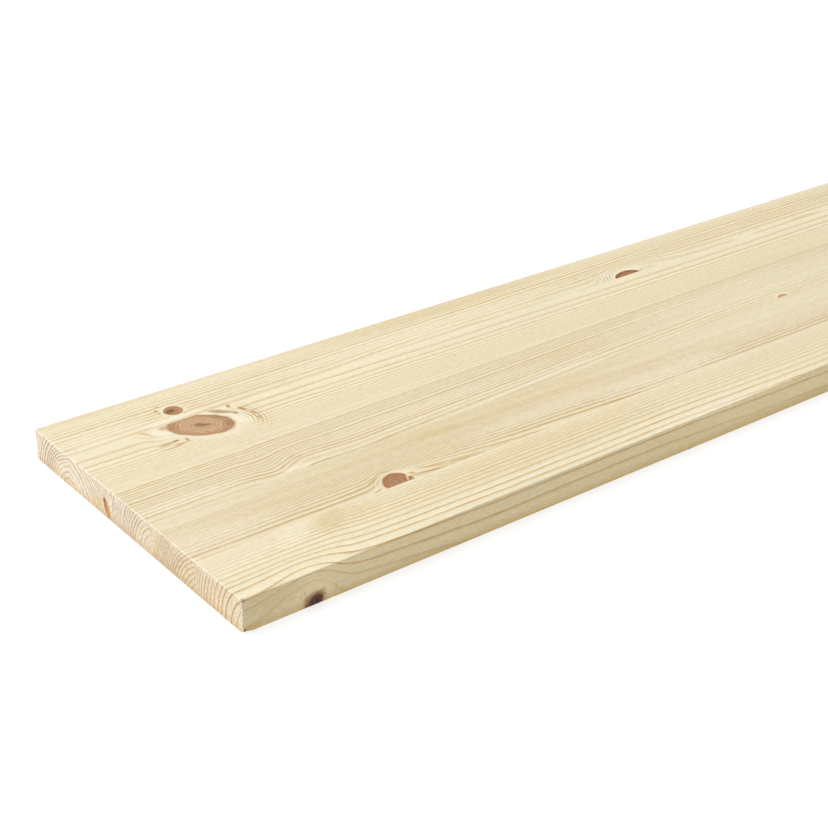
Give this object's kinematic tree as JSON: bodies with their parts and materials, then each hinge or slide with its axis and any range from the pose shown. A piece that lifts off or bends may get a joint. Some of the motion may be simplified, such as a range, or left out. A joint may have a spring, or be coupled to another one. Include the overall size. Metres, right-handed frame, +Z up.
{
  "type": "edge-glued pine board",
  "caption": "Flat rectangular pine board of knotty solid staves glued edge to edge, planed smooth with lightly rounded arrises, for shelves, furniture and joinery.",
  "frame": {"origin": "middle of the underside, on the surface that the board lies on", "axes": "+X along the length and the grain, away from the end with the resin pocket; +Y across the width to the back long edge; +Z up through the thickness"},
  "size_m": [1.2, 0.2, 0.018],
  "materials": {
    "pine": "planed and sanded, unfinished"
  },
  "bodies": {
    "root": {"back_stave": "pine", "inner_back_stave": "pine", "middle_stave": "pine", "inner_front_stave": "pine", "front_stave": "pine"}
  },
  "joints": []
}
